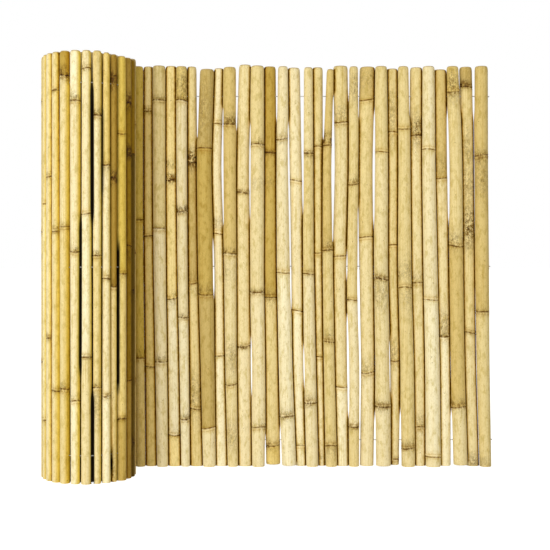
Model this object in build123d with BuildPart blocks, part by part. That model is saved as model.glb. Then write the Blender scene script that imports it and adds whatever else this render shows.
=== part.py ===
from build123d import *

import os
from math import cos, degrees, radians, sin, sqrt, tan
from typing import NamedTuple

# Bamboo screen: whole canes threaded on three wires, with one end of the strip rolled up.
# Millimetres, +Z up. The flat run lies along X, its free edge at +X, and the roll stands
# at -X, in front of the run (-Y). The origin is the middle of the screen's footprint.

# Canes
CANE_LENGTH = 910.0
CANE_WALL = 4.0
BORE_DEPTH = 100.0  # how far a cut end is hollow, unless a joint closes it sooner
JOINT_WALL = 5.0  # the wall inside the cane that closes it at a joint
RING_RISE = 0.6  # how far the ring at a joint stands proud
RING_HEIGHT = 8.0
CANE_CLEARANCE = 0.2  # least space between two canes
CANE_LAP = 1.2  # how far neighbours in the flat run overlap, seen from the front

# Wires
WIRE_DIAMETER = 2.0
WIRE_PLAY = 0.3  # space around the wire in its hole
BOTTOM_WIRE_HEIGHT = 59.0
TOP_WIRE_INSET = 67.0  # below the canes' heads
TAIL_REACH = 4.0  # from the free edge to the wire's turned-back tail
TAIL_LENGTH = 10.0
TAIL_BEND = 3.0
INNER_TAIL = 4.0  # wire left over past the innermost cane
BEND_REACH = 1.8  # length of wire that bends, on each side of a corner in the roll

# Roll
ROLL_RADIUS = 104.0  # radius of the wires where the strip starts to curl
CORE_RADIUS = 22.0  # the roll ends when its turns are this tight
TURN_SLACK = 0.6  # space between one turn's thickest cane and the next turn's
STRAIGHT_CANES = 4  # canes behind the roll, before the strip curls
HIDDEN_CANES = 13  # canes of the roll's back, up to its left side
NAMED_CANES = 55  # canes that are pieces of their own; the rest form the inner turns

RUN_HEADING = 180.0  # the strip runs towards -X, in degrees about Z, before it curls
FULL_TURN = 360.0
GAUGE_QUARTERS = (4, 3, 2, 1, 0)  # heights at which the flat run is gauged, from head to foot


class FlatCane(NamedTuple):
    """A cane of the flat run: sizes listed from its head down to its foot."""

    diameters: tuple  # at the head, the waist and the foot
    joints: tuple  # heights of the rings above the foot
    gaps: tuple = (0, 0, 0, 0, 0)  # extra room to the next cane at the five gauge heights
    head_trim: float = 0.0  # cut above (+) or below (-) the usual length
    foot_lift: float = 0.0


class RollCane(NamedTuple):
    """A cane of the roll, which stands upright."""

    diameters: tuple
    joints: tuple
    gap: float = 0.0  # room left before the next cane
    head_trim: float = 0.0
    foot_lift: float = 0.0


class Placed(NamedTuple):
    """A cane where it stands: its axis at the five gauge heights, from head to foot."""

    spec: NamedTuple
    xs: tuple
    y: float
    heading: float  # direction of the wires through the cane, in degrees about Z


# How far the free edge leans out at each gauge height, from head to foot.
FREE_EDGE_LEAN = (-2.5, -2.0, 0.0, 1.5, 5.5)

# The flat run, from its free edge to the roll.
FLAT_CANES = (
    FlatCane((30.2, 32.2, 27.2), (707, 351), (5.5, 0, 0, 0, 0)),
    FlatCane((29.2, 30.2, 29.7), (863, 303), (5.0, 0, 0, 0, 0)),
    FlatCane((26.7, 30.7, 31.7), (851, 502, 136), (0, 6.0, 0, 0, 6.0), 0.0, 4.0),
    FlatCane((29.7, 29.7, 25.7), (657, 296), head_trim=-6.0),
    FlatCane((27.7, 31.7, 34.2), (721, 380, 22)),
    FlatCane((28.2, 30.2, 26.7), (753, 417, 88), (6.0, 0, 0, 0, 0), -1.0),
    FlatCane((24.2, 30.2, 30.7), (767, 406, 42), (0, 0, 0, 0, 6.0)),
    FlatCane((26.7, 25.2, 20.7), (760, 504, 239, 15), (0, 0, 0, 4.0, 0), -4.0, 2.0),
    FlatCane((27.7, 32.2, 34.2), (715, 426, 136), (0, 6.0, 0, 0, 5.5), 0.0, 2.0),
    FlatCane((35.2, 33.2, 31.2), (835, 522, 214), (6.0, 0, 9.0, 5.5, 4.0)),
    FlatCane((19.7, 23.2, 23.2), (641, 378, 90), (4.0, 0, 0, 5.5, 0)),
    FlatCane((33.7, 32.2, 29.2), (783, 479, 180), (0, 10.0, 0.5, 0, 0), 2.0),
    FlatCane((15.7, 23.2, 26.2), (730, 492, 284, 47), (10.0, 0, 0, 0, 0), -6.0),
    FlatCane((24.7, 22.2, 18.7), (728, 487, 249), head_trim=-1.0),
    FlatCane((20.2, 24.2, 27.7), (712, 438, 144), (10.0, 5.0, 0, 3.5, 0), -2.0),
    FlatCane((28.7, 27.7, 25.2), (650, 353, 47), (0, 5.0, 5.0, 0, 0), -2.0),
    FlatCane((22.7, 30.2, 32.7), (744, 441, 113), (6.0, 0, 0, 0, 4.5), 0.0, 3.0),
    FlatCane((28.2, 32.2, 33.2), (714, 383, 47), (0, 0, 0, 0, 4.0), 1.0, 4.0),
    FlatCane((30.2, 31.2, 28.7), (732, 396, 90), (0, 5.0, 0, 4.0, 0), 1.0),
    FlatCane((28.7, 33.2, 34.2), (623, 273), (7.5, 0, 0, 0, 0), 5.0),
    FlatCane((28.7, 28.2, 23.7), (777, 484, 187), (0, 7.0, 0, 0, 0), -2.0),
    FlatCane((23.2, 23.7, 29.7), (780, 530, 250), (0, 0, 4.0, 0, 0), -3.0),
    FlatCane((32.2, 34.2, 29.2), (722, 391, 88), (10.0, 0, 0, 0, 0), -7.0),
    FlatCane((22.2, 25.7, 31.7), (693, 415, 131), head_trim=1.0),
    FlatCane((25.2, 23.7, 20.2), (833, 580, 339, 108)),
    FlatCane((26.2, 28.7, 31.7), (652, 382, 72), head_trim=2.0),
    FlatCane((29.7, 28.2, 26.2), (833, 541, 238), head_trim=1.0),
    FlatCane((23.2, 25.2, 28.2), (809, 524, 227), head_trim=1.0),
    FlatCane((24.2, 22.2, 22.2), (561, 246)),
)

# The roll's front, from its left side round to its right side.
FRONT_CANES = (
    RollCane((20.5, 20.5, 20.5), (590, 126)),
    RollCane((21.0, 21.0, 21.0), (646, 304)),
    RollCane((21.0, 21.0, 21.0), (828, 530, 194), 0.5),
    RollCane((22.5, 21.5, 21.0), (858, 540, 199), 1.0),
    RollCane((22.5, 21.5, 19.0), (804, 488, 175), 1.5),
    RollCane((19.5, 21.0, 22.5), (871, 567, 267), 2.0),
    RollCane((18.5, 17.0, 16.5), (774, 479, 202), 2.0),
    RollCane((14.5, 16.5, 18.5), (670, 431, 183), 1.0, -2.0),
    RollCane((14.5, 13.5, 13.5), (860, 645, 414), 3.0, -4.0),
    RollCane((20.0, 22.0, 22.5), (739, 441, 131), 0.0, -5.0),
    RollCane((19.0, 19.0, 19.0), (807, 500, 210), 0.0, -5.0),
    RollCane((20.0, 20.0, 20.0), (700, 405, 75), 0.0, -5.0),
)

# Canes whose faces can't be told apart repeat this short list of sizes.
PLAIN_DIAMETERS = (20.3, 18.8, 21.3, 19.3, 17.8)
PLAIN_FIRST_JOINT = 96.0
PLAIN_JOINT_STEP = 281.0
PLAIN_JOINT_SHIFT = 83.0  # each such cane's joints stand this much higher than the last's


def plain_cane(number):
    """A cane of the roll's hidden side or inner turns."""
    size = PLAIN_DIAMETERS[number % len(PLAIN_DIAMETERS)]
    first = PLAIN_FIRST_JOINT + number * PLAIN_JOINT_SHIFT % PLAIN_JOINT_STEP
    count = int((CANE_LENGTH - first) / PLAIN_JOINT_STEP) + 1
    return RollCane((size,) * 3, tuple(first + PLAIN_JOINT_STEP * i for i in range(count)))


def roll_cane(number):
    """The cane at a place along the rolled part of the strip, counted from the flat run."""
    front = number - HIDDEN_CANES
    if 0 <= front < len(FRONT_CANES):
        return FRONT_CANES[front]
    return plain_cane(number)


def between(values, height):
    """Read a height off values that are evenly spread from the head down to the foot."""
    span = (1 - height / CANE_LENGTH) * (len(values) - 1)
    low = max(0, min(int(span), len(values) - 2))
    return values[low] + (values[low + 1] - values[low]) * (span - low)


def ends(spec):
    return spec.foot_lift, CANE_LENGTH + spec.head_trim


def whole_joints(spec):
    """The joints whose ring isn't cut by one of the cane's ends, from the foot up."""
    foot, head = ends(spec)
    return sorted(z for z in spec.joints if foot + RING_HEIGHT / 2 < z < head - RING_HEIGHT)


def core_radius(spec, height):
    """The cane's radius without its rings."""
    return between(spec.diameters, height) / 2


def profile(spec, height):
    """The cane's radius at a height, its rings included."""
    near = [abs(height - z) / (RING_HEIGHT / 2) for z in whole_joints(spec)]
    return core_radius(spec, height) + RING_RISE * max(0, 1 - min(near, default=1))


def station_heights(spec, ringed):
    """Heights of the sections that shape a cane, from the foot up."""
    foot, head = ends(spec)
    rings = whole_joints(spec) if ringed else []
    heights = [foot, head]
    for quarter in GAUGE_QUARTERS[1:-1]:
        height = CANE_LENGTH * quarter / 4
        if all(abs(height - z) > RING_HEIGHT for z in rings):
            heights.append(height)
    for z in rings:
        heights += [z - RING_HEIGHT / 2, z, z + RING_HEIGHT / 2]
    return sorted(heights)


def shared_heights(first, second):
    return station_heights(first, True) + station_heights(second, True)


def closest_spacing(first, second):
    """Least distance between the axes of two upright canes side by side."""
    widest = max(profile(first, z) + profile(second, z) for z in shared_heights(first, second))
    return widest + CANE_CLEARANCE


def axis_x(cane, height):
    return between(cane.xs, height)


def lay_flat_run():
    """Axes of the flat run's canes at the gauge heights, and the edge they end at."""
    edges = list(FREE_EDGE_LEAN)
    axes = []
    for spec in FLAT_CANES:
        heights = [CANE_LENGTH * quarter / 4 for quarter in GAUGE_QUARTERS]
        widths = [between(spec.diameters, z) - CANE_LAP for z in heights]
        axes.append(tuple(edge - width / 2 for edge, width in zip(edges, widths)))
        edges = [edge - width - gap for edge, width, gap in zip(edges, widths, spec.gaps)]
    return axes, min(edges)


def stagger(axes):
    """How far each cane must stand before or behind the wires, so that no neighbours touch."""
    rooms = [0]
    for i in range(len(axes) - 1):
        near, far = FLAT_CANES[i], FLAT_CANES[i + 1]
        room = 0
        for z in shared_heights(near, far):
            apart = between(axes[i], z) - between(axes[i + 1], z)
            needed = profile(near, z) + profile(far, z) + CANE_CLEARANCE
            room = max(room, sqrt(max(0, needed**2 - apart**2)))
        rooms.append(room)
    rooms.append(0)
    return [max(pair) / 2 for pair in zip(rooms, rooms[1:])]


def string_roll(edge):
    """Place the canes behind and in the roll; return them and the wires' corner points."""
    widest = max(max(roll_cane(i).diameters) for i in range(HIDDEN_CANES + len(FRONT_CANES)))
    turn_pitch = widest + RING_RISE + CANE_CLEARANCE + TURN_SLACK
    placed = []
    corners = []
    turns = []
    heading = RUN_HEADING
    bend = 0.0
    radius = ROLL_RADIUS
    lead = closest_spacing(FLAT_CANES[-1], roll_cane(0)) / 2
    at = Vector(edge, 0)
    while radius > CORE_RADIUS:
        spec = roll_cane(len(placed))
        follower = roll_cane(len(placed) + 1)
        trail = (closest_spacing(spec, follower) + spec.gap) / 2
        along = Vector(cos(radians(heading)), sin(radians(heading)))
        centre = at + along * (lead / cos(radians(bend / 2)))
        placed.append(Placed(spec, (centre.X,) * len(GAUGE_QUARTERS), centre.Y, heading))
        bend = 0.0
        if len(placed) >= STRAIGHT_CANES:
            bend = degrees((lead + trail) / radius)
            radius -= turn_pitch * bend / FULL_TURN
        at = centre + along * (trail / cos(radians(bend / 2)))
        if bend:
            corners.append(at)
            turns.append(bend)
        heading += bend
        lead = trail
    corners[-1] = centre + along * (trail + INNER_TAIL)
    return placed, corners, turns[:-1]


def cane_solid(cane, ringed, shift):
    """One cane: its tapered, slightly bent body, hollow ends and drilled wire holes."""
    spec = cane.spec
    foot, head = ends(spec)
    joints = whole_joints(spec)

    across = (-sin(radians(cane.heading)), cos(radians(cane.heading)), 0)

    def plane(height):
        return Plane((axis_x(cane, height) + shift.X, cane.y + shift.Y, height), x_dir=across)

    low_bore = min([foot + BORE_DEPTH] + [z - JOINT_WALL / 2 for z in joints])
    high_bore = max([head - BORE_DEPTH] + [z + JOINT_WALL / 2 for z in joints])
    wire_y = 0 if spec in FLAT_CANES else cane.y
    along = (cos(radians(cane.heading)), sin(radians(cane.heading)), 0)
    drill = Plane(
        (axis_x(cane, CANE_LENGTH / 2) + shift.X, wire_y + shift.Y, 0),
        x_dir=(0, 0, 1),
        z_dir=along,
    )

    with BuildPart() as body:
        for z in station_heights(spec, ringed):
            with BuildSketch(plane(z)):
                Circle(profile(spec, z) if ringed else core_radius(spec, z))
        loft(ruled=True, clean=False)
        for mouth, floor in ((foot, low_bore), (head, high_bore)):
            with BuildSketch(plane(mouth)):
                Circle(core_radius(spec, mouth) - CANE_WALL)
            with BuildSketch(plane(floor)):
                Circle(core_radius(spec, floor) - CANE_WALL)
            loft(mode=Mode.SUBTRACT, clean=False)
        with BuildSketch(drill):
            with Locations(*[(height, 0) for height in WIRE_HEIGHTS.values()]):
                Circle(WIRE_DIAMETER / 2 + WIRE_PLAY)
        extrude(amount=max(spec.diameters), both=True, mode=Mode.SUBTRACT, clean=False)
    return body.part


def wire_solid(height, corners, turns, shift):
    """One wire: a tail turned back at the free edge, the flat run, then the roll's corners."""
    edge = axis_x(canes[0], height) + core_radius(FLAT_CANES[0], height) + TAIL_REACH
    route = [Vector(edge, TAIL_LENGTH), Vector(edge, 0)] + corners
    points = [Vector(p.X, p.Y, height) + shift for p in route]
    radii = [TAIL_BEND] + [BEND_REACH / tan(radians(turn / 2)) for turn in turns]
    with BuildPart() as wire:
        with BuildLine() as path:
            FilletPolyline(*points, radius=radii)
        with BuildSketch(Plane(path.line @ 0, z_dir=path.line % 0)):
            Circle(WIRE_DIAMETER / 2)
        sweep()
    return wire.part


def write(part, name):
    part.label = name
    export_step(part, f"parts/{name}.step")


WIRE_HEIGHTS = {
    "top_wire": CANE_LENGTH - TOP_WIRE_INSET,
    "middle_wire": CANE_LENGTH / 2,
    "bottom_wire": BOTTOM_WIRE_HEIGHT,
}

# Places of all canes, and the shift that puts the origin in the middle of the footprint.
axes, roll_edge = lay_flat_run()
canes = [
    Placed(spec, xs, offset if i % 2 else -offset, RUN_HEADING)
    for i, (spec, xs, offset) in enumerate(zip(FLAT_CANES, axes, stagger(axes)))
]
rolled, corners, turns = string_roll(roll_edge)
canes += rolled

lefts = [min(cane.xs) - max(cane.spec.diameters) / 2 for cane in rolled]
fronts = [cane.y - max(cane.spec.diameters) / 2 for cane in rolled]
backs = [cane.y + max(cane.spec.diameters) / 2 for cane in canes]
tails = [
    axis_x(canes[0], z) + core_radius(FLAT_CANES[0], z) + TAIL_REACH + WIRE_DIAMETER / 2
    for z in WIRE_HEIGHTS.values()
]
origin_shift = Vector(-(min(lefts) + max(tails)) / 2, -(min(fronts) + max(backs)) / 2)

os.makedirs("parts", exist_ok=True)

# The canes of the flat run and of the roll's outer turn
for i, cane in enumerate(canes[:NAMED_CANES]):
    write(cane_solid(cane, True, origin_shift), f"cane_{i + 1:02d}")

# The inner turns, each a group of separate canes
inner = canes[NAMED_CANES:]
second_turn_end = RUN_HEADING + 2 * FULL_TURN
second_turn = [cane for cane in inner if cane.heading < second_turn_end]
core_turns = [cane for cane in inner if cane.heading >= second_turn_end]
for name, group in (("second_turn", second_turn), ("core_turns", core_turns)):
    solids = [cane_solid(cane, False, origin_shift).solid() for cane in group]
    write(Compound(children=solids), name)

# The wires
for name, height in WIRE_HEIGHTS.items():
    write(wire_solid(height, corners, turns, origin_shift), name)
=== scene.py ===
"""Looks of a length of bamboo fencing, half unrolled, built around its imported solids."""

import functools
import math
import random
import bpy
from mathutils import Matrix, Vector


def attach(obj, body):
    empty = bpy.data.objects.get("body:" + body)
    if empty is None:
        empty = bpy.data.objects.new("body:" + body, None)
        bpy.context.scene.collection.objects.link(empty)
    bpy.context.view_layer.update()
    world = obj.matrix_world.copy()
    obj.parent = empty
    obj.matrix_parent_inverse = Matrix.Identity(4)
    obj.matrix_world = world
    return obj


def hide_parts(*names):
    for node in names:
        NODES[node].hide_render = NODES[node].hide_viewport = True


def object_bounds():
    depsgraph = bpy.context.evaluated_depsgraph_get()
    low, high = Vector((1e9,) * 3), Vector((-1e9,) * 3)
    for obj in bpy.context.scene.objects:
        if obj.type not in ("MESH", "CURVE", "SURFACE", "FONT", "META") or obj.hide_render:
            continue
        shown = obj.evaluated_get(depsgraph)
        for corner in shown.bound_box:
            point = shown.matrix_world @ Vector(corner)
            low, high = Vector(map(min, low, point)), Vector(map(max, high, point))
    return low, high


bl_info = {
    "name": "Bamboo Screen",
    "version": (1, 0, 0),
    "blender": (4, 5, 0),
    "location": "View3D > Sidebar > Bamboo Screen",
    "description": "Dresses a rolled bamboo screen: canes, wires and a white studio",
    "category": "Object",
}

from typing import NamedTuple

import bmesh
import bpy
from bpy.props import FloatProperty, FloatVectorProperty, IntProperty, PointerProperty
from bpy.types import Operator, Panel, PropertyGroup
from mathutils import Euler, Matrix, Vector, noise

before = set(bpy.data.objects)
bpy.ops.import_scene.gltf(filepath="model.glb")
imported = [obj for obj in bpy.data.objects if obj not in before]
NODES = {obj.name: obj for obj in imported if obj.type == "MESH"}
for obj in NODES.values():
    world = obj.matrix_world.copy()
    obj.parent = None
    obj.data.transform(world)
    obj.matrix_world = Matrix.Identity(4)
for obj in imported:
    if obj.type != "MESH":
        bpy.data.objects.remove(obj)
CAD_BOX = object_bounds()

MM = 0.001
FLAT_CANES = [f"cane_{number:02d}" for number in range(1, 30)]
ROLL_CANES = [f"cane_{number:02d}" for number in range(30, 56)]
INNER_TURNS = ["second_turn", "core_turns"]
WIRES = ["top_wire", "middle_wire", "bottom_wire"]

# Skin colours of dried bamboo, in sRGB
TONES = {
    "ivory": (0.985, 0.940, 0.780),
    "cream": (0.955, 0.895, 0.710),
    "lemon": (0.990, 0.905, 0.630),
    "oat": (0.935, 0.865, 0.650),
    "butter": (0.915, 0.818, 0.515),
    "straw": (0.915, 0.835, 0.590),
    "wheat": (0.865, 0.765, 0.485),
    "tan": (0.800, 0.700, 0.425),
    "amber": (0.868, 0.752, 0.350),
    "honey": (0.800, 0.688, 0.365),
    "gold": (0.760, 0.635, 0.290),
    "brown": (0.670, 0.545, 0.225),
    # umber and bark, the darkest tones, are partly the canes' own brown and partly painted shade for the
    # roll's right side
    "umber": (0.575, 0.450, 0.075),
    "bark": (0.385, 0.300, 0.060),
}
CUT_TONE = (0.860, 0.760, 0.540)
HOLLOW_TONE = (0.620, 0.510, 0.320)

# How the skin steps out and in across a joint: offset along the growth, rise and width, in mm
JOINT_SHAPE = ((-2.2, 0.40, 0.75), (0.2, -0.35, 0.9), (3.0, 0.36, 2.0), (0.0, 0.20, 11.0))
JOINT_STATIONS = (
    *(-15, -10, -6.5, -4.5, -3.5, -2.8, -2.2, -1.6, -0.9, -0.2),
    *(0.6, 1.4, 2.4, 3.6, 5.2, 6.4, 7.5, 11, 15),
)
JOINT_ROOM = 17 * MM  # the evenly spaced rings of points keep this far from a joint

# Tint across a joint, by the offset along the growth in mm, in sRGB, multiplied into the skin
JOINT_TINTS = (
    (-15.0, (1.0, 1.0, 1.0)),
    (-6.5, (0.98, 0.97, 0.93)),
    (-3.5, (0.90, 0.86, 0.72)),
    (-2.2, (0.99, 0.97, 0.90)),
    (-1.6, (0.74, 0.64, 0.40)),
    (-0.2, (0.40, 0.29, 0.10)),
    (0.6, (0.66, 0.54, 0.30)),
    (2.4, (0.99, 0.97, 0.92)),
    (5.2, (0.96, 0.92, 0.82)),
    (6.4, (0.84, 0.76, 0.58)),
    (7.5, (0.96, 0.93, 0.85)),
    (15.0, (1.0, 1.0, 1.0)),
)
FAR_OFFSET = 99.0

HIDDEN_SHADE_FADE = 70 * MM  # inner canes darken with painted shade over this depth below their heads
SHOWN_INNER = 4  # so many canes of the second turn stand in the open, past the end of the outer turn
CUT_DEPTH = 0.2 * MM  # the sawn face reaches this far down
FLOOR_SIZE = 40.0  # half the width of the white paper

# Where neighbours of the roll's front part: heights from and to, and how far each draws back, in mm; the
# draw-back also sets how dark the painted shade inside the cleft is
CLEFTS = {
    ("cane_47", "cane_48"): ((215, 575, 0.9),),
    ("cane_48", "cane_49"): ((-60, 205, 1.3), (535, 855, 1.0)),
    ("cane_49", "cane_50"): ((590, 800, 0.4),),
    ("cane_50", "cane_51"): ((0, 80, 1.2),),
    ("cane_51", "cane_52"): ((175, 525, 1.1),),
}
CLEFT_FADE = 40.0  # a cleft closes over this height, in mm


class Look(NamedTuple):
    """A cane's skin: a tone for each length between joints, from head to foot, and its stains."""

    tones: tuple
    stains: tuple = ()  # height and reach in mm, strength
    buds: tuple = ()  # joint number from the head, degrees round from the front, size in mm


# The flat run, from its free edge to the roll
LOOKS = {
    "cane_01": Look(
        ("wheat", "wheat", "straw"),
        ((702, 16, 0.8), (655, 45, 0.5), (350, 9, 0.5), (8, 16, 0.6)),
    ),
    "cane_02": Look(
        ("tan", "straw", "oat"),
        ((868, 10, 1.2), (720, 55, 0.4), (640, 50, 0.6), (545, 45, 1.1), (304, 8, 0.9), (10, 18, 0.8)),
    ),
    "cane_03": Look(
        ("butter", "straw", "wheat", "oat"),
        ((868, 34, 0.8), (848, 9, 0.9), (512, 18, 0.8), (142, 14, 0.8)),
    ),
    "cane_04": Look(("wheat", "oat", "ivory"), ((685, 28, 0.35), (318, 34, 0.6), (299, 7, 0.9))),
    "cane_05": Look(("cream", "cream", "ivory", "cream")),
    "cane_06": Look(("straw", "oat", "oat", "cream"), ((766, 30, 1.0), (424, 16, 0.8), (94, 26, 0.5))),
    "cane_07": Look(
        ("straw", "straw", "straw", "oat"),
        ((432, 7, 1.0), (450, 22, 0.5), (390, 40, 0.4), (46, 12, 0.8)),
    ),
    "cane_08": Look(
        ("straw", "straw", "straw", "oat", "cream"),
        ((800, 60, 0.5), (255, 30, 0.5), (16, 10, 0.7)),
        ((3, 10, 5.0),),
    ),
    "cane_09": Look(("straw", "oat", "oat", "cream"), ((427, 11, 1.0), (395, 40, 0.4), (138, 11, 1.0))),
    "cane_10": Look(("wheat", "straw", "oat", "cream"), ((880, 26, 0.35), (222, 20, 0.5))),
    "cane_11": Look(
        ("straw", "straw", "cream", "straw"),
        ((862, 36, 0.5), (648, 10, 0.6), (379, 5, 0.8), (91, 8, 1.0)),
    ),
    "cane_12": Look(("straw", "oat", "oat", "ivory"), ((798, 26, 0.5),)),
    "cane_13": Look(
        ("wheat", "wheat", "straw", "straw", "straw"),
        ((744, 18, 1.6), (499, 14, 0.7), (292, 14, 0.7), (42, 20, 0.5)),
        ((3, 35, 5.0),),
    ),
    "cane_14": Look(("straw", "straw", "oat", "cream"), ((734, 14, 0.3), (20, 14, 0.5))),
    "cane_15": Look(("oat", "straw", "cream", "cream"), ((710, 9, 0.9), (438, 10, 0.4), (147, 12, 0.9))),
    "cane_16": Look(("cream", "cream", "ivory", "ivory"), (), ((2, -78, 9.0),)),
    "cane_17": Look(("cream", "cream", "ivory", "ivory"), ((745, 12, 0.5), (116, 11, 0.7))),
    "cane_18": Look(
        ("gold", "honey", "straw", "butter"),
        ((714, 7, 0.8), (650, 9, 0.5), (383, 18, 0.7), (48, 12, 0.8)),
        ((2, -15, 6.0),),
    ),
    "cane_19": Look(
        ("straw", "oat", "cream", "cream"),
        ((733, 10, 0.6), (640, 12, 0.3), (396, 7, 0.9), (92, 9, 0.6)),
    ),
    "cane_20": Look(("oat", "oat", "cream"), ((625, 6, 1.0), (273, 6, 1.0))),
    "cane_21": Look(
        ("wheat", "wheat", "oat", "oat"),
        ((785, 14, 0.9), (488, 9, 0.8), (440, 30, 0.3), (245, 40, 0.6), (188, 5, 0.7), (70, 34, 0.5)),
    ),
    "cane_22": Look(("cream", "cream", "cream", "ivory"), ((552, 10, 0.9),)),
    "cane_23": Look(("tan", "honey", "tan", "cream"), ((812, 70, 0.4), (402, 11, 0.9))),
    "cane_24": Look(("straw", "tan", "straw", "straw"), ((700, 20, 2.0), (415, 26, 0.5), (160, 50, 0.6))),
    "cane_25": Look(
        ("butter", "cream", "cream", "ivory", "ivory"),
        ((870, 34, 0.7), (838, 8, 0.8), (583, 9, 1.6), (342, 7, 0.9), (112, 10, 0.9)),
        ((3, 45, 5.0),),
    ),
    "cane_26": Look(
        ("lemon", "lemon", "ivory", "lemon"),
        ((655, 10, 1.6), (690, 8, 1.6), (384, 14, 0.7), (76, 18, 0.8)),
        ((1, 40, 6.0),),
    ),
    "cane_27": Look(("straw", "straw", "cream", "cream"), ((834, 8, 0.6), (541, 7, 0.6), (243, 10, 0.7))),
    "cane_28": Look(("lemon", "butter", "butter", "butter"), ((812, 8, 0.9), (524, 6, 0.7), (228, 6, 0.7))),
    "cane_29": Look(("amber", "amber", "butter"), ((563, 8, 0.6), (250, 14, 0.5))),
    # The roll's front, from its left side round to its right side
    "cane_43": Look(("cream", "ivory", "cream"), ((126, 10, 0.5),)),
    "cane_44": Look(("cream", "cream", "cream"), ((648, 12, 0.6), (306, 10, 0.6))),
    "cane_45": Look(("oat", "oat", "oat", "oat"), ((828, 6, 0.6), (534, 12, 0.6), (196, 6, 0.6))),
    "cane_46": Look(
        ("gold", "oat", "straw", "straw"),
        ((860, 14, 1.2), (540, 9, 0.6), (199, 12, 0.7)),
        ((3, 20, 5.0),),
    ),
    "cane_47": Look(("ivory", "cream", "cream", "ivory"), ((808, 12, 0.8), (492, 8, 0.7), (178, 9, 0.7))),
    "cane_48": Look(("cream", "cream", "ivory", "oat"), ((872, 9, 0.7), (566, 5, 0.5), (268, 7, 0.7))),
    "cane_49": Look(
        ("straw", "cream", "straw", "oat"),
        ((778, 10, 1.4), (482, 8, 0.8), (205, 9, 0.7), (165, 34, 0.6)),
    ),
    "cane_50": Look(("butter", "cream", "cream", "ivory"), ((668, 9, 0.8), (433, 7, 0.8), (184, 7, 0.7))),
    "cane_51": Look(
        ("brown", "brown", "brown", "straw"),
        ((852, 20, 1.4), (645, 13, 2.2), (414, 11, 0.9), (30, 40, 0.6)),
    ),
    "cane_52": Look(("amber", "amber", "butter", "honey"), ((739, 6, 0.7), (441, 7, 0.8), (132, 5, 0.9))),
    # The last two canes at the roll's right side: their dark tones are partly their own brown and partly
    # painted shade
    "cane_53": Look(("brown", "umber", "umber", "brown"), ((812, 16, 2.2), (700, 12, 2.2), (480, 14, 0.7))),
    "cane_54": Look(("umber", "bark", "bark", "bark"), ((400, 12, 0.9), (75, 14, 0.9))),
}

# Canes without a look of their own take one of these tones each
PLAIN_TONES = ("straw", "wheat", "cream", "straw", "tan")


def srgb_to_linear(colour):
    """The linear colour of an sRGB one."""
    return tuple(c / 12.92 if c <= 0.04045 else ((c + 0.055) / 1.055) ** 2.4 for c in colour)


def rgba(colour):
    """The linear colour of an sRGB one, with an alpha of 1, as a socket takes it."""
    return (*srgb_to_linear(colour), 1.0)


class Section(NamedTuple):
    """A level of a cane: its height, the place of its axis and its radius."""

    z: float
    x: float
    y: float
    radius: float


class CaneShape(NamedTuple):
    """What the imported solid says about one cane."""

    sections: list  # the skin without its rings, from foot to head
    joints: list  # heights of the rings
    floors: tuple  # where the hollows at the foot and at the head end
    wall: float


class Touch(NamedTuple):
    """A neighbour: its direction, how close it comes (1 where it touches), how far the skin gives, and how
    strong the painted shade is in a cleft and on a rolled cane's side towards the next cane.

    The skin swells to its side to close a slit, and draws back from it in a cleft.
    """

    towards: float
    side: float
    close: float
    swell: float
    deep_shade: float
    shaded: float


class Ring(NamedTuple):
    """What every point of a cane at one height shares."""

    here: Section
    axis: Section
    tone: tuple
    tint: tuple
    touches: list


LEVEL_POINTS = 12  # a level with fewer points is part of a drilled hole
ROUND_SHARE = 0.97  # and so is one whose nearest point lies closer in than this share of its furthest
RING_STEP = 0.15 * MM  # a ring of the solid steps out by more than this
RING_HALF = 4 * MM  # and reaches this far up and down
OPEN_GAPS = (1.2 * MM, 2.0 * MM)  # neighbours touch up to the first and stand clear past the second
GAP_LAP = 1.5 * MM  # seen from the front, touching canes overlap this much
CONTACT_SHADE_REACH = (2.6 * MM, 10.5 * MM)  # painted shade round from the touch: full up to the first, none past the second
CLEFT_SHADE_REACH = (3.5 * MM, 8.0 * MM)  # the same for the painted shade inside a cleft
SIDE_SHADE_REACH = (4.0 * MM, 17.0 * MM)  # and for the painted golden shade on a rolled cane's side towards the next cane
TOUCH_SPREAD = 0.8  # how wide a cane gives towards a neighbour, in radians
BUD_SPREAD = 0.55  # reach of a bud's bulge, in its sizes
BUD_RISE = 0.22  # how far a bud stands out, in its sizes
BUD_STAIN = 0.75  # how stained a bud's rim is


def levels_of(points):
    """Circles of points at one height each: (height, centre x, centre y, inner and outer radius)."""
    by_height = {}
    for point in points:
        by_height.setdefault(round(point.z, 5), []).append(point)
    found = []
    for z in sorted(by_height):
        ring = by_height[z]
        if len(ring) < LEVEL_POINTS:
            continue
        x = sum(point.x for point in ring) / len(ring)
        y = sum(point.y for point in ring) / len(ring)
        reach = [math.hypot(point.x - x, point.y - y) for point in ring]
        if min(reach) > ROUND_SHARE * max(reach) or z in (min(by_height), max(by_height)):
            found.append((z, x, y, min(reach), max(reach)))
    return found


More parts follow.
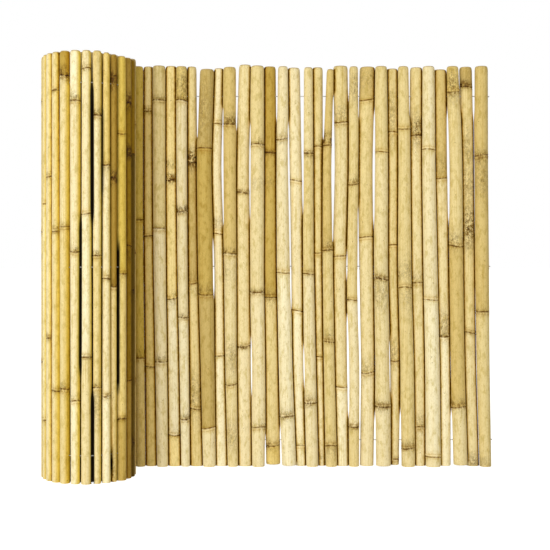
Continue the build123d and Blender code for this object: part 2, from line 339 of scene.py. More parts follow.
def read_cane(points):
    """Read a cane's skin, rings and hollows back from the points of its solid."""
    levels = levels_of(points)
    foot, head = levels[0], levels[-1]
    wall = foot[4] - foot[3]

    def end_radius(z):
        share = (z - foot[0]) / (head[0] - foot[0])
        return foot[4] + (head[4] - foot[4]) * share

    skin, hollow = [], []
    for level in levels:
        inside = level[4] < end_radius(level[0]) - 0.75 * wall and level not in (foot, head)
        (hollow if inside else skin).append(level)
    middle = (foot[0] + head[0]) / 2
    low = max((level[0] for level in hollow if level[0] < middle), default=foot[0] + 2 * wall)
    high = min((level[0] for level in hollow if level[0] > middle), default=head[0] - 2 * wall)

    joints = []
    for before, level, after in zip(skin, skin[1:], skin[2:]):
        step_in = min(level[4] - before[4], level[4] - after[4])
        near = max(level[0] - before[0], after[0] - level[0]) < RING_HALF + 1 * MM
        if step_in > RING_STEP and near:
            joints.append(level[0])
    plain = []
    for z, x, y, _, radius in skin:
        if all(abs(z - joint) > 0.97 * RING_HALF for joint in joints):
            plain.append(Section(z, x, y, radius))
    return CaneShape(plain, joints, (low, high), wall)


def at_height(sections, z):
    """The section of a cane at a height, between those that are known."""
    below, above = sections[0], sections[-1]
    for section in sections:
        if section.z <= z:
            below = section
        else:
            above = section
            break
    span = above.z - below.z
    share = min(max((z - below.z) / span, 0), 1) if span > 0 else 0
    return Section(z, *(low + (high - low) * share for low, high in zip(below[1:], above[1:])))


def eased(sections, z, reach):
    """The section at a height, with the bends of the axis eased over a reach up and down."""
    low = at_height(sections, max(z - reach, sections[0].z))
    high = at_height(sections, min(z + reach, sections[-1].z))
    here = at_height(sections, z)
    share = 0.5 if sections[0].z + reach < z < sections[-1].z - reach else 0.0
    mean = [(a + b) / 2 for a, b in zip(low[1:], high[1:])]
    return Section(z, *(point + (middle - point) * share for point, middle in zip(here[1:], mean)))


def joint_rise(offset):
    """How far the skin stands out at an offset from a joint, along the growth; both in mm."""
    return sum(rise * math.exp(-(((offset - place) / width) ** 2)) for place, rise, width in JOINT_SHAPE)


def nearest_joint(joints, growth, z):
    """Signed offset from the nearest joint, along the growth, in mm."""
    if not joints:
        return FAR_OFFSET
    joint = min(joints, key=lambda height: abs(z - height))
    return (z - joint) * growth / MM


def joint_tint(offset):
    """The tint of the skin at an offset from a joint, as a linear colour to multiply by."""
    before, after = JOINT_TINTS[0], JOINT_TINTS[-1]
    if not before[0] < offset < after[0]:
        return (1.0, 1.0, 1.0)
    for stop in JOINT_TINTS:
        if stop[0] <= offset:
            before = stop
        else:
            after = stop
            break
    share = (offset - before[0]) / (after[0] - before[0])
    return srgb_to_linear([low + (high - low) * share for low, high in zip(before[1], after[1])])


def smooth_step(low, high, value):
    """0 up to the low value, 1 from the high one, and a smooth rise between."""
    share = min(max((value - low) / (high - low), 0.0), 1.0)
    return share * share * (3 - 2 * share)


def cleft_at(clefts, z):
    """How far a cane draws back from its neighbour at a height."""
    depth = 0.0
    for low, high, pull in clefts:
        inside = min(z / MM - low, high - z / MM)
        depth = max(depth, pull * MM * smooth_step(0, CLEFT_FADE, inside))
    return depth


def touch(shape, other, clefts, shaded, z, flat):
    """How a neighbour stands to a cane at a height."""
    if not other.sections[0].z < z < other.sections[-1].z:
        return Touch(0.0, 0.0, 0.0, 0.0, 0.0, 0.0)
    here, there = at_height(shape.sections, z), at_height(other.sections, z)
    away = Vector((there.x - here.x, there.y - here.y))
    towards = math.atan2(away.y, away.x)
    if not flat:
        open_share = smooth_step(*OPEN_GAPS, away.length - here.radius - there.radius)
        pull = cleft_at(clefts, z)
        return Touch(towards, towards, 1 - open_share, -pull, min(1.0, pull / MM), shaded)
    gap = abs(away.x) - here.radius - there.radius
    open_share = smooth_step(*OPEN_GAPS, gap)
    swell = 0.5 * max(0.0, gap + GAP_LAP) * (1 - open_share)
    return Touch(towards, 0.0 if away.x > 0 else math.pi, 1 - open_share, swell, 0.0, 0.0)


def painted_shade_at(touches, angle, radius):
    """How much painted shade the skin takes beside touching neighbours and deep in a cleft, and how much
    painted golden shade on its side towards the next cane.
    """
    contact_shade = deep_shade = tan = 0.0
    for near in touches:
        way = radius * abs((angle - near.towards + math.pi) % (2 * math.pi) - math.pi)
        contact_shade = max(contact_shade, near.close * (1 - smooth_step(*CONTACT_SHADE_REACH, way)))
        deep_shade = max(deep_shade, near.deep_shade * (1 - smooth_step(*CLEFT_SHADE_REACH, way)))
        tan = max(tan, near.shaded * (1 - smooth_step(*SIDE_SHADE_REACH, way)))
    return contact_shade, deep_shade, tan


def skin_heights(shape, growth, spacing):
    """Heights of the rings of points that make a cane's skin."""
    foot, head = shape.sections[0].z, shape.sections[-1].z
    heights = {foot, head}
    for joint in shape.joints:
        heights.update(joint + growth * step * MM for step in JOINT_STATIONS)
    count = max(2, round((head - foot) / spacing))
    for step in range(1, count):
        z = foot + (head - foot) * step / count
        if all(abs(z - joint) > JOINT_ROOM for joint in shape.joints):
            heights.add(z)
    return sorted(z for z in heights if foot <= z <= head)


def cane_outline(shape, growth, sizes, ringed):
    """A cane's outline from the floor of its foot's hollow, over the skin, to that of its head's."""
    foot, head = shape.sections[0].z, shape.sections[-1].z
    edges = [min(edge, 0.95 * shape.wall) for edge in (sizes.foot_edge, sizes.head_edge)]
    spacing = sizes.ring_spacing if ringed else sizes.hidden_ring_spacing
    skin = []
    for z in skin_heights(shape, growth, spacing):
        if foot + 3.0 * edges[0] < z < head - 3.0 * edges[1]:
            rise = joint_rise(nearest_joint(shape.joints, growth, z)) * MM if ringed else 0
            skin.append((at_height(shape.sections, z).radius + rise, z))
    ends = []
    for end, floor, edge, inward in zip((foot, head), shape.floors, edges, (1, -1)):
        radius = at_height(shape.sections, end).radius
        deep = at_height(shape.sections, floor).radius - shape.wall
        mouth = radius - shape.wall
        turned_in = [
            (0.0, floor - inward * 1.5 * MM),
            (0.6 * deep, floor - inward * 1.0 * MM),
            (deep, floor + inward * 1.0 * MM),
            (mouth, end + inward * 0.5 * edge),
            (mouth + 0.1 * edge, end),
            (radius - 0.95 * edge, end),
            (radius - 0.60 * edge, end + inward * 0.21 * edge),
            (radius - 0.29 * edge, end + inward * 0.74 * edge),
            (radius - 0.08 * edge, end + inward * 1.56 * edge),
            (radius, end + inward * 2.6 * edge),
        ]
        ends.append(turned_in)
    return ends[0] + skin + ends[1][::-1]


def front_angle(degrees_round):
    """The direction that far round from the side that faces the viewer, positive to the right."""
    return math.radians(degrees_round - 90)


def bump(angle, towards, spread):
    """A soft bump round a cane, 1 at one direction and 0 well away from it."""
    turn = (angle - towards + math.pi) % (2 * math.pi) - math.pi
    return math.exp(-((turn / spread) ** 2))


def buds_of(shape, look, growth, rng):
    """The bud at each joint: (height, direction, size in metres). Buds stand on turns about."""
    given = {joint: (angle, size) for joint, angle, size in look.buds}
    side = rng.uniform(0, 360)
    buds = []
    for number, joint in enumerate(sorted(shape.joints, reverse=True), 1):
        angle, size = given.get(number, (side + 180 * number, rng.uniform(3.0, 4.2)))
        buds.append((joint + growth * (4 + size / 2) * MM, front_angle(angle), size * MM))
    return buds


def tone_at(shape, tones, z):
    """A cane's skin colour at a height: each length between joints has its own."""
    above = sum(joint > z for joint in shape.joints)
    return srgb_to_linear(TONES[tones[min(above, len(tones) - 1)]])


def stain_at(stains, z, angle, place):
    """How stained the skin is: strongest at a stain's height, and broken up round the cane."""
    worst = 0.0
    for height, reach, strength in stains:
        near = math.exp(-(((z / MM - height) / reach) ** 2))
        if near > 0.02:
            spot = noise.noise(Vector((math.cos(angle), math.sin(angle), 0.02 * height)) * 1.1 + place * 7)
            worst = max(worst, strength * near * min(1.0, max(0.25, 0.75 + 0.8 * spot)))
    return worst


def spun(outline, segments):
    """A bmesh of an outline, given as radius and height, spun about the Z axis."""
    cane = bmesh.new()
    verts = [cane.verts.new((radius, 0, z)) for radius, z in outline]
    edges = [cane.edges.new(pair) for pair in zip(verts, verts[1:])]
    bmesh.ops.spin(
        cane,
        geom=verts + edges,
        cent=(0, 0, 0),
        axis=(0, 0, 1),
        dvec=(0, 0, 0),
        angle=2 * math.pi,
        steps=segments,
        use_merge=True,
        use_duplicate=False,
    )
    bmesh.ops.remove_doubles(cane, verts=cane.verts, dist=0.002 * MM)
    bmesh.ops.recalc_face_normals(cane, faces=cane.faces)
    return cane


def leans_of(shape, sizes, rng):
    """How each joint leans: (height, slope, direction it leans to, turn of its wave)."""
    leans = []
    for height in shape.joints:
        slope = rng.uniform(-1, 1) * sizes.joint_tilt
        towards = rng.uniform(0, 2 * math.pi)
        leans.append((height, slope, towards, rng.uniform(0, 2 * math.pi)))
    return leans


def bud_at(buds, z, angle, radius):
    """How far buds push the skin out, as a share of the radius, and how stained their rims are."""
    push = worn = 0.0
    for height, towards, size in buds:
        near = math.exp(-(((z - height) / (BUD_SPREAD * size)) ** 2))
        push += BUD_RISE * size * bump(angle, towards, BUD_SPREAD * size / radius) * near / radius
        rim = math.exp(-(((near - 0.35) / 0.2) ** 2)) * bump(angle, towards, size / radius)
        worn = max(worn, BUD_STAIN * rim)
    return push, worn


def grow_cane(mesh, shape, look, sizes, ringed, seed, neighbours, flat):
    """Add one cane to a bmesh: a spun outline, then bent, dented and tinted."""
    rng = random.Random(seed)
    foot, head = shape.sections[0], shape.sections[-1]
    growth = 1 if head.radius <= foot.radius else -1
    buds = buds_of(shape, look, growth, rng) if ringed else []
    segments = sizes.segments if ringed else sizes.hidden_segments
    oval = rng.uniform(0, math.pi)
    leans = leans_of(shape, sizes, rng)
    place = Vector((foot.x, foot.y, 0)) * 50  # canes side by side get unlike stains
    cane = spun(cane_outline(shape, growth, sizes, ringed), segments)

    @functools.cache
    def ring_at(z):
        return Ring(
            at_height(shape.sections, z),
            eased(shape.sections, z, sizes.bend_reach),
            tone_at(shape, look.tones, z),
            joint_tint(nearest_joint(shape.joints, growth, z)),
            [touch(shape, *neighbour, z, flat) for neighbour in neighbours],
        )

    tone = cane.verts.layers.float_color.new("tone")
    tint = cane.verts.layers.float_color.new("joint_tint")
    stain = cane.verts.layers.float.new("stain")
    # These three layers hold painted shade: beside touching neighbours, deep in clefts and down the inner
    # canes, and a golden shade on a rolled cane's side towards the next cane
    contact_shade = cane.verts.layers.float.new("contact_shade")
    deep_shade = cane.verts.layers.float.new("deep_shade")
    # Painted golden shade on a rolled cane's side towards the next cane
    tan = cane.verts.layers.float.new("tan")
    cut = cane.verts.layers.float.new("cut")
    for vert in cane.verts:
        z = vert.co.z
        ring = ring_at(round(z, 6))
        radius = math.hypot(vert.co.x, vert.co.y)
        angle = math.atan2(vert.co.y, vert.co.x)
        outer = radius > ring.here.radius - 0.35 * shape.wall
        from_end = min(z - foot.z, head.z - z)
        at_end = from_end < CUT_DEPTH
        stretch = 1.0
        worn = stain_at(look.stains, z, angle, place) if ringed else 0.0
        if outer and not at_end:
            push, rim = bud_at(buds, z, angle, ring.here.radius)
            worn = max(worn, rim)
            stretch += sizes.ovality * (math.cos(2 * (angle - oval)) - 1) + push
            for near in ring.touches:
                stretch += near.swell * bump(angle, near.side, TOUCH_SPREAD) / ring.here.radius
            free = smooth_step(0, sizes.tilt_reach, from_end)
            for height, slope, towards, twist in leans:
                near = free * math.exp(-(((z - height) / sizes.tilt_reach) ** 2))
                wave = sizes.joint_wave * math.cos(2 * angle + twist)
                vert.co.z += near * (slope * radius * math.cos(angle - towards) + wave)
        vert[tone] = (*(ring.tone if outer else srgb_to_linear(HOLLOW_TONE)), 1)
        vert[tint] = (*(ring.tint if outer else (1.0, 1.0, 1.0)), 1)
        vert[stain] = worn
        sides = painted_shade_at(ring.touches, angle, radius) if outer else (0.0, 0.0, 0.0)
        vert[contact_shade], vert[deep_shade], vert[tan] = sides
        # Inner canes take painted shade, darker below their heads
        if outer and not ringed:
            vert[deep_shade] = smooth_step(0, HIDDEN_SHADE_FADE, head.z - z)
        vert[cut] = 1.0 if at_end or not outer else 0.0
        vert.co.x = ring.axis.x + vert.co.x * stretch
        vert.co.y = ring.axis.y + vert.co.y * stretch
    for edge in cane.edges:
        edge.smooth = len(edge.link_faces) < 2 or edge.calc_face_angle(0) < sizes.sharp_angle
    for face in cane.faces:
        face.smooth = True

    whole = bpy.data.meshes.new("cane")
    cane.to_mesh(whole)
    cane.free()
    mesh.from_mesh(whole)
    bpy.data.meshes.remove(whole)


def islands_of(node):
    """The points of each separate solid in a CAD node, from a merged copy of its mesh."""
    copy = bmesh.new()
    copy.from_mesh(NODES[node].data)
    bmesh.ops.remove_doubles(copy, verts=copy.verts, dist=0.001 * MM)
    islands, seen = [], set()
    for start in copy.verts:
        if start in seen:
            continue
        seen.add(start)
        island, waiting = [], [start]
        while waiting:
            vert = waiting.pop()
            island.append(vert.co.copy())
            for edge in vert.link_edges:
                other = edge.other_vert(vert)
                if other not in seen:
                    seen.add(other)
                    waiting.append(other)
        islands.append(island)
    copy.free()
    return islands


@functools.cache
def shapes_of(node):
    """The canes of a CAD node, read back from its mesh."""
    return [read_cane(points) for points in islands_of(node)]


def put(name, data):
    """A new object in the scene for a mesh, a lamp or a camera."""
    placed = bpy.data.objects.new(name, data)
    bpy.context.scene.collection.objects.link(placed)
    return placed


def put_mesh(name, mesh, material):
    """A new object in the scene for a bmesh, which is freed."""
    data = bpy.data.meshes.new(name)
    mesh.to_mesh(data)
    mesh.free()
    data.materials.append(material)
    return put(name, data)


def finish_piece(mesh, name, material, slot, *nodes):
    """Turn a bmesh into a piece of the screen that stands for CAD nodes."""
    piece = put_mesh(name, mesh, material)
    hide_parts(*nodes)
    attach(piece, "root")
    return piece


@functools.cache
def whole_strip():
    """Every cane of the strip in turn, from its free edge to the roll's core: (node, number in it)."""
    nodes = FLAT_CANES + ROLL_CANES + INNER_TURNS
    return [(node, number) for node in nodes for number in range(len(shapes_of(node)))]


def neighbours_of(node, number):
    """The canes beside one in the strip: (shape, clefts between the two, 1 on the side that takes the
    painted golden shade).
    """
    strip = whole_strip()
    place = strip.index((node, number))
    beside = []
    for other, pair in ((place - 1, (place - 1, place)), (place + 1, (place, place + 1))):
        if 0 <= other < len(strip):
            clefts = CLEFTS.get(tuple(strip[cane][0] for cane in pair), ())
            beside.append((shapes_of(strip[other][0])[strip[other][1]], clefts, float(other > place)))
    return beside


def made_up_joints(shape, rng):
    """Heights for the joints of a cane whose solid has none."""
    heights = []
    z = shape.sections[0].z + rng.uniform(90, 280) * MM
    while z < shape.sections[-1].z - 60 * MM:
        heights.append(z)
        z += rng.uniform(250, 320) * MM
    return heights


def grow_canes(names, sizes):
    """One piece for each CAD node named, of one cane or of a group of canes."""
    skin = bamboo_material()
    for name in names:
        mesh = bmesh.new()
        for number, shape in enumerate(shapes_of(name)):
            seed = f"{name} {number}"
            rng = random.Random(seed)
            tones = (PLAIN_TONES[rng.randrange(len(PLAIN_TONES))],)
            ringed = name not in INNER_TURNS or (name == INNER_TURNS[0] and number < SHOWN_INNER)
            if ringed and not shape.joints:
                shape = shape._replace(joints=made_up_joints(shape, rng))
            plain = Look(tones, tuple((joint / MM, 7, 0.6) for joint in shape.joints))
            beside = neighbours_of(name, number)
            grow_cane(mesh, shape, LOOKS.get(name, plain), sizes, ringed, seed, beside, name in FLAT_CANES)
        finish_piece(mesh, f"{name}_skin", skin, "bamboo", name)


class NodeKit:
    """Short ways to add and wire a material's nodes."""

    def __init__(self, name):
        self.material = bpy.data.materials.new(name)
        self.material.use_nodes = True
        self.tree = self.material.node_tree
        self.shader = self.tree.nodes["Principled BSDF"]
        self.output = self.tree.nodes["Material Output"]

    def add(self, kind, **settings):
        node = self.tree.nodes.new(kind)
        for setting, value in settings.items():
            setattr(node, setting, value)
        return node

    def link(self, source, target):
        self.tree.links.new(source, target)

    def attribute(self, name, output="Fac"):
        return self.add("ShaderNodeAttribute", attribute_name=name).outputs[output]

    def noise(self, vector, scale, detail=3.0, rough=0.55):
        node = self.add("ShaderNodeTexNoise")
        node.inputs["Scale"].default_value = scale
        node.inputs["Detail"].default_value = detail
        node.inputs["Roughness"].default_value = rough
        self.link(vector, node.inputs["Vector"])
        return node.outputs["Fac"]

    def stretched(self, scale):
        mapping = self.add("ShaderNodeMapping")
        mapping.inputs["Scale"].default_value = scale
        self.link(self.coords(), mapping.inputs["Vector"])
        return mapping.outputs["Vector"]

    def coords(self):
        return self.add("ShaderNodeTexCoord").outputs["Object"]

    def ranged(self, value, low, high, to_low=0.0, to_high=1.0):
        node = self.add("ShaderNodeMapRange", interpolation_type="SMOOTHSTEP")
        limits = {"From Min": low, "From Max": high, "To Min": to_low, "To Max": to_high}
        for socket, limit in limits.items():
            node.inputs[socket].default_value = limit
        self.link(value, node.inputs["Value"])
        return node.outputs["Result"]

    def math(self, operation, first, second):
        node = self.add("ShaderNodeMath", operation=operation)
        for socket, value in zip(node.inputs, (first, second)):
            if isinstance(value, (int, float)):
                socket.default_value = value
            else:
                self.link(value, socket)
        return node.outputs[0]

    def mix(self, factor, first, second, blend="MIX"):
        node = self.add("ShaderNodeMix", data_type="RGBA", blend_type=blend)
        sockets = [socket for socket in node.inputs if socket.type == "RGBA"]
        for socket, value in zip(sockets, (first, second)):
            if isinstance(value, tuple):
                socket.default_value = value
            else:
                self.link(value, socket)
        if isinstance(factor, (int, float)):
            node.inputs["Factor"].default_value = factor
        else:
            self.link(factor, node.inputs["Factor"])
        return [socket for socket in node.outputs if socket.type == "RGBA"][0]


def bamboo_material():
    """Dry bamboo: streaks, blotches and specks, lines at the joints, mould, cut ends, and painted shade:
    golden on a rolled cane's side, dark where canes touch, in clefts and down the inner canes.
    """
    kit = NodeKit("bamboo skin")
    looks = bpy.context.scene.bamboo_screen_finish
    streaks = kit.noise(kit.stretched((1, 1, 0.012)), 520, 4.0)
    fine_streaks = kit.noise(kit.stretched((1, 1, 0.02)), 2600, 2.0)
    blotches = kit.noise(kit.stretched((1, 1, 0.45)), 110, 5.0, 0.65)
    grain = kit.noise(kit.stretched((1, 1, 0.5)), 420, 4.0, 0.7)
    specks = kit.noise(kit.stretched((1, 1, 0.6)), 400, 3.0, 0.65)
    dots = kit.noise(kit.stretched((1, 1, 0.7)), 300, 2.0, 0.5)
    smudges = kit.noise(kit.stretched((1, 1, 0.8)), 170, 4.0, 0.65)

    skin = kit.attribute("tone", "Color")
    layers = (
        (blotches, 0.46, 0.68, looks.blotches, (0.88, 0.85, 0.70)),
        (grain, 0.46, 0.70, looks.grain, (0.84, 0.80, 0.64)),
        (streaks, 0.50, 0.75, looks.streaks, (0.90, 0.85, 0.68)),
        (fine_streaks, 0.50, 0.80, looks.streaks, (0.94, 0.91, 0.82)),
        (dots, 0.70, 0.76, looks.specks, (0.62, 0.52, 0.30)),
    )
    for pattern, low, high, strength, colour in layers:
        skin = kit.mix(kit.ranged(pattern, low, high, 0.0, strength), skin, rgba(colour), "MULTIPLY")

    broken = kit.ranged(smudges, 0.34, 0.58, looks.joint_lines * 0.35, looks.joint_lines)
    skin = kit.mix(broken, skin, kit.attribute("joint_tint", "Color"), "MULTIPLY")

    stain = kit.attribute("stain")
    mould = kit.math("MULTIPLY", stain, kit.ranged(smudges, 0.36, 0.62))
    skin = kit.mix(kit.math("MULTIPLY", mould, looks.mould), skin, rgba((0.56, 0.47, 0.26)), "MULTIPLY")
    spots = kit.math("MULTIPLY", stain, kit.ranged(specks, 0.52, 0.63))
    skin = kit.mix(kit.math("MULTIPLY", spots, looks.mould), skin, rgba((0.24, 0.17, 0.06)))

    # Painted golden shade on a rolled cane's side towards the next cane
    shaded = kit.math("MULTIPLY", kit.attribute("tan"), looks.tan)
    skin = kit.mix(shaded, skin, rgba((0.95, 0.885, 0.45)), "MULTIPLY")
    # Painted shade where canes touch: a golden fade, then a dark brown line, broken up a little
    uneven = kit.ranged(smudges, 0.30, 0.60, 0.75 * looks.contact_shade, looks.contact_shade)
    contact_shade_mask = kit.math("MULTIPLY", kit.attribute("contact_shade"), uneven)
    skin = kit.mix(kit.ranged(contact_shade_mask, 0.0, 0.7), skin, rgba((0.90, 0.79, 0.42)), "MULTIPLY")
    skin = kit.mix(kit.ranged(contact_shade_mask, 0.35, 0.95), skin, rgba((0.50, 0.39, 0.04)), "MULTIPLY")
    # Painted dark shade deep in clefts and down the inner canes
    skin = kit.mix(kit.attribute("deep_shade"), skin, rgba((0.12, 0.08, 0.02)), "MULTIPLY")

    cut = kit.attribute("cut")
    pores = kit.noise(kit.coords(), 1500, 2.0)
    cut_tone = kit.mix(kit.ranged(pores, 0.5, 0.62, 0.0, 0.8), rgba(CUT_TONE), rgba(HOLLOW_TONE))
    skin = kit.mix(cut, skin, cut_tone)
    kit.link(skin, kit.shader.inputs["Base Color"])
    kit.shader.inputs["Roughness"].default_value = looks.skin_roughness
    # Less gloss under the painted shade where canes touch
    unshaded = kit.math("SUBTRACT", 1.0, kit.attribute("contact_shade"))
    kit.link(kit.math("MULTIPLY", unshaded, looks.skin_gloss), kit.shader.inputs["Specular IOR Level"])

    relief = kit.add("ShaderNodeBump")
    relief.inputs["Strength"].default_value = 0.25
    relief.inputs["Distance"].default_value = 0.25 * MM
    kit.link(streaks, relief.inputs["Height"])
    kit.link(relief.outputs["Normal"], kit.shader.inputs["Normal"])
    return kit.material


def wire_material():
    """Galvanised wire: pale grey, a little mottled."""
    kit = NodeKit("galvanised wire")
    looks = bpy.context.scene.bamboo_screen_finish
    mottle = kit.noise(kit.coords(), 900, 2.0)
    zinc = kit.mix(kit.ranged(mottle, 0.35, 0.7), rgba(looks.wire_tone), rgba((0.56, 0.56, 0.55)))
    kit.link(zinc, kit.shader.inputs["Base Color"])
    kit.shader.inputs["Metallic"].default_value = 0.7
    kit.shader.inputs["Roughness"].default_value = 0.42
    return kit.material


def floor_material():
    """White paper: it shows the screen's shadow, and to the camera it is as white as the backdrop."""
    kit = NodeKit("white paper")
    stage = bpy.context.scene.bamboo_screen_stage
    kit.shader.inputs["Base Color"].default_value = rgba((0.93, 0.93, 0.93))
    kit.shader.inputs["Roughness"].default_value = 1.0
    kit.shader.inputs["Specular IOR Level"].default_value = 0.0
    glow = kit.add("ShaderNodeEmission")
    rays = kit.add("ShaderNodeLightPath")
    seen = kit.math("MAXIMUM", rays.outputs["Is Camera Ray"], rays.outputs["Is Glossy Ray"])
    seen = kit.math("MAXIMUM", seen, rays.outputs["Is Transmission Ray"])
    kit.link(kit.math("MULTIPLY", seen, stage.floor_glow), glow.inputs["Strength"])
    both = kit.add("ShaderNodeAddShader")
    kit.link(kit.shader.outputs["BSDF"], both.inputs[0])
    kit.link(glow.outputs["Emission"], both.inputs[1])
    kit.link(both.outputs["Shader"], kit.output.inputs["Surface"])
    return kit.material


def plain_setting(name, description, default):
    """A setting that is a plain number."""
    return FloatProperty(name=name, description=description, default=default)


def share_setting(name, description, default):
    """A setting from 0 to 1."""
    return FloatProperty(name=name, description=description, default=default, min=0, max=1)


def length_setting(name, description, default):
    """A setting in metres."""
    return FloatProperty(name=name, description=description, default=default, subtype="DISTANCE")


def angle_setting(name, description, degrees):
    """A setting that is an angle."""
    return FloatProperty(name=name, description=description, default=math.radians(degrees), subtype="ANGLE")


class BambooScreenCaneSizes(PropertyGroup):
    """Sizes of the canes' own shape, on top of what the solids give."""

    segments: IntProperty(name="Segments", description="Faces round a cane", default=36, min=12)
    hidden_segments: IntProperty(
        name="Inner Segments",
        description="Faces round an inner cane",
        default=24,
        min=8,
    )
    ring_spacing: length_setting("Ring Spacing", "Height of a face between joints", 14 * MM)
    hidden_ring_spacing: length_setting("Inner Ring Spacing", "Height of an inner cane's faces", 60 * MM)
    head_edge: length_setting("Head Edge", "Rounding of a head's edge", 3.4 * MM)
    foot_edge: length_setting("Foot Edge", "Rounding of a foot's edge", 0.7 * MM)
    bend_reach: length_setting("Bend Reach", "Length over which a cane's bend is eased", 45 * MM)
    joint_tilt: angle_setting("Joint Tilt", "Most that a joint leans", 8)
    tilt_reach: length_setting("Tilt Reach", "How far from a joint its lean is felt", 24 * MM)
    joint_wave: length_setting("Joint Wave", "How far a joint's line wanders", 0.8 * MM)
    ovality: plain_setting("Ovality", "How far a cane is from round", 0.012)
    sharp_angle: angle_setting("Sharp Angle", "Edges sharper than this show", 50)


class BambooScreenFinish(PropertyGroup):
    """How the bamboo and the wire look."""

    streaks: share_setting("Streaks", "Strength of the fibre streaks", 0.85)
    blotches: share_setting("Blotches", "Strength of the wide blotches", 0.8)
    grain: share_setting("Grain", "Strength of the small mottling", 0.38)
    specks: share_setting("Specks", "Strength of the lone dark specks", 0.7)
    # Painted shade where canes touch
    contact_shade: share_setting("Contact Shade", "Darkness where canes touch", 1.0)
    # Painted golden shade on a rolled cane's side towards the next cane
    tan: share_setting("Side Shade", "Gold of the rolled canes' tanned sides", 1.0)
    joint_lines: share_setting("Joint Lines", "Strength of the lines at joints", 1.0)
    mould: share_setting("Mould", "Strength of stains and specks", 1.0)
    skin_roughness: share_setting("Roughness", "Roughness of the bamboo", 0.62)
    skin_gloss: share_setting("Gloss", "Reflection of the bamboo's skin", 0.12)
    wire_tone: FloatVectorProperty(
        name="Wire",
        description="Colour of the wire, in sRGB",
        default=(0.66, 0.65, 0.62),
        size=3,
        subtype="COLOR_GAMMA",
    )


class BambooScreenStage(PropertyGroup):
    """Camera, lamp, backdrop and floor."""

    camera_place: FloatVectorProperty(
        name="Camera",
        description="Place of the camera",
        default=(0.0057, -2.369, 0.476),
        size=3,
        subtype="XYZ",
    )
    lens: plain_setting("Lens", "Focal length of a 36 mm camera, in mm", 70.56)
    shift: plain_setting("Shift", "Camera shift upwards, in image widths", -0.0325)
    key_turn: angle_setting("Key Turn", "How far left the main lamp stands", 17)
    key_rise: angle_setting("Key Rise", "How high the main lamp stands", 3)
    key_distance: length_setting("Key Distance", "From the screen to the main lamp", 4.0)
    key_width: length_setting("Key Width", "Width of the main lamp", 5.2)
    key_height: length_setting("Key Height", "Height of the main lamp", 1.5)
    key_power: plain_setting("Key Power", "Power of the main lamp, in watts", 128)
    sky: plain_setting("Sky", "Strength of the light from all round", 0.42)
    floor_glow: plain_setting("Floor Glow", "White that the floor adds for the camera", 0.86)


class BAMBOO_SCREEN_OT_flat_run(Operator):
    """Dress the canes of the flat run"""

    bl_idname = "bamboo_screen.flat_run"
    bl_label = "Flat Run"

    def execute(self, context):
        grow_canes(FLAT_CANES, context.scene.bamboo_screen_canes)
        return {"FINISHED"}


class BAMBOO_SCREEN_OT_roll(Operator):
    """Dress the canes behind the roll and in its outer turn"""

    bl_idname = "bamboo_screen.roll"
    bl_label = "Roll"

    def execute(self, context):
        grow_canes(ROLL_CANES, context.scene.bamboo_screen_canes)
        return {"FINISHED"}


class BAMBOO_SCREEN_OT_inner_turns(Operator):
    """Dress the canes of the roll's inner turns"""

    bl_idname = "bamboo_screen.inner_turns"
    bl_label = "Inner Turns"

    def execute(self, context):
        grow_canes(INNER_TURNS, context.scene.bamboo_screen_canes)
        return {"FINISHED"}


class BAMBOO_SCREEN_OT_wires(Operator):
    """Dress the three wires that the canes are threaded on"""

    bl_idname = "bamboo_screen.wires"
    bl_label = "Wires"

    def execute(self, context):
        zinc = wire_material()
        for name in WIRES:
            mesh = bmesh.new()
            mesh.from_mesh(NODES[name].data)
            bmesh.ops.remove_doubles(mesh, verts=mesh.verts, dist=0.001 * MM)
            for face in mesh.faces:
                face.smooth = True
            finish_piece(mesh, f"{name}_galvanised", zinc, "wire", name)
        return {"FINISHED"}


def add_floor():
    """White paper under the screen."""
    mesh = bmesh.new()
    bmesh.ops.create_grid(mesh, x_segments=1, y_segments=1, size=FLOOR_SIZE)
    floor = put_mesh("floor", mesh, floor_material())


def add_key(stage):
    """The main lamp, a wide soft box in front of the screen and a little to the left."""
    lamp = bpy.data.lights.new("key", "AREA")
    lamp.shape = "ELLIPSE"
    lamp.size = stage.key_width
    lamp.size_y = stage.key_height
    lamp.energy = stage.key_power
    turn = Euler((math.pi / 2 - stage.key_rise, 0, -stage.key_turn)).to_matrix()
    middle = (CAD_BOX[0] + CAD_BOX[1]) / 2
    key = put("key", lamp)
    key.matrix_world = Matrix.Translation(middle + turn.col[2] * stage.key_distance) @ turn.to_4x4()


def add_backdrop(stage):
    """A backdrop that is white to the eye and lights the screen less than that."""
    world = bpy.data.worlds.new("backdrop")
    world.use_nodes = True
    bpy.context.scene.world = world
    nodes, links = world.node_tree.nodes, world.node_tree.links
    sky = nodes["Background"]
    sky.inputs["Color"].default_value = (1, 1, 1, 1)
    rays = nodes.new("ShaderNodeLightPath")
    glossy = nodes.new("ShaderNodeMath")
    glossy.operation = "MAXIMUM"
    links.new(rays.outputs["Is Glossy Ray"], glossy.inputs[0])
    links.new(rays.outputs["Is Transmission Ray"], glossy.inputs[1])
    seen = nodes.new("ShaderNodeMath")
    seen.operation = "MAXIMUM"
    links.new(rays.outputs["Is Camera Ray"], seen.inputs[0])
    links.new(glossy.outputs[0], seen.inputs[1])
    strength = nodes.new("ShaderNodeMapRange")
    strength.inputs["To Min"].default_value = stage.sky
    strength.inputs["To Max"].default_value = 1.0
    links.new(seen.outputs[0], strength.inputs["Value"])
    links.new(strength.outputs["Result"], sky.inputs["Strength"])


def add_camera(stage):
    """A level camera in front of the screen."""
    data = bpy.data.cameras.new("camera")
    data.lens = stage.lens
    data.shift_y = stage.shift
    camera = put("camera", data)
    camera.location = stage.camera_place
    camera.rotation_euler = (math.pi / 2, 0, 0)
    bpy.context.scene.camera = camera


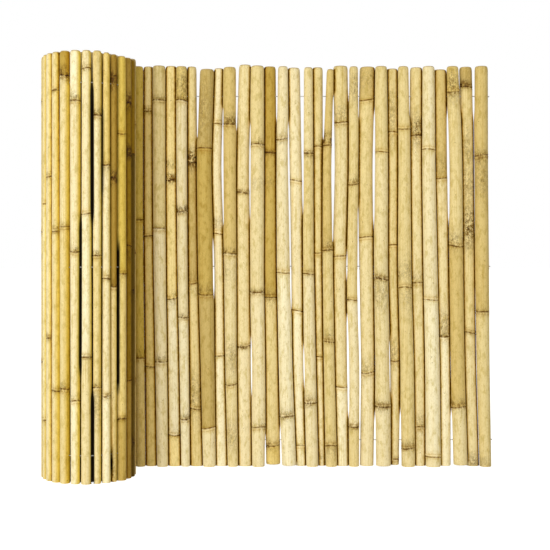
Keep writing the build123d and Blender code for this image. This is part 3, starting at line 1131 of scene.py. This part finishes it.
class BAMBOO_SCREEN_OT_stage(Operator):
    """Add the floor, the lamp, the white backdrop and the camera"""

    bl_idname = "bamboo_screen.stage"
    bl_label = "Stage"

    def execute(self, context):
        stage = context.scene.bamboo_screen_stage
        context.scene.view_settings.view_transform = "Standard"
        add_floor()
        add_key(stage)
        add_backdrop(stage)
        add_camera(stage)
        return {"FINISHED"}


class BAMBOO_SCREEN_PT_panel(Panel):
    """Steps that dress the screen, in order"""

    bl_idname = "BAMBOO_SCREEN_PT_panel"
    bl_label = "Bamboo Screen"
    bl_space_type = "VIEW_3D"
    bl_region_type = "UI"
    bl_category = "Bamboo Screen"

    def draw(self, context):
        for settings in (
            context.scene.bamboo_screen_canes,
            context.scene.bamboo_screen_finish,
            context.scene.bamboo_screen_stage,
        ):
            box = self.layout.box()
            for setting in settings.__annotations__:
                box.prop(settings, setting)
        for operator in OPERATORS:
            self.layout.operator(operator.bl_idname)


SETTINGS = {
    "bamboo_screen_canes": BambooScreenCaneSizes,
    "bamboo_screen_finish": BambooScreenFinish,
    "bamboo_screen_stage": BambooScreenStage,
}
OPERATORS = (
    BAMBOO_SCREEN_OT_flat_run,
    BAMBOO_SCREEN_OT_roll,
    BAMBOO_SCREEN_OT_inner_turns,
    BAMBOO_SCREEN_OT_wires,
    BAMBOO_SCREEN_OT_stage,
)


def register():
    for name, settings in SETTINGS.items():
        bpy.utils.register_class(settings)
        setattr(bpy.types.Scene, name, PointerProperty(type=settings))
    for operator in OPERATORS:
        bpy.utils.register_class(operator)
    bpy.utils.register_class(BAMBOO_SCREEN_PT_panel)


def unregister():
    bpy.utils.unregister_class(BAMBOO_SCREEN_PT_panel)
    for operator in reversed(OPERATORS):
        bpy.utils.unregister_class(operator)
    for name, settings in SETTINGS.items():
        delattr(bpy.types.Scene, name)
        bpy.utils.unregister_class(settings)


def main():
    register()
    bpy.ops.bamboo_screen.flat_run()
    bpy.ops.bamboo_screen.roll()
    bpy.ops.bamboo_screen.inner_turns()
    bpy.ops.bamboo_screen.wires()
    bpy.ops.bamboo_screen.stage()


if __name__ == "__main__":
    main()
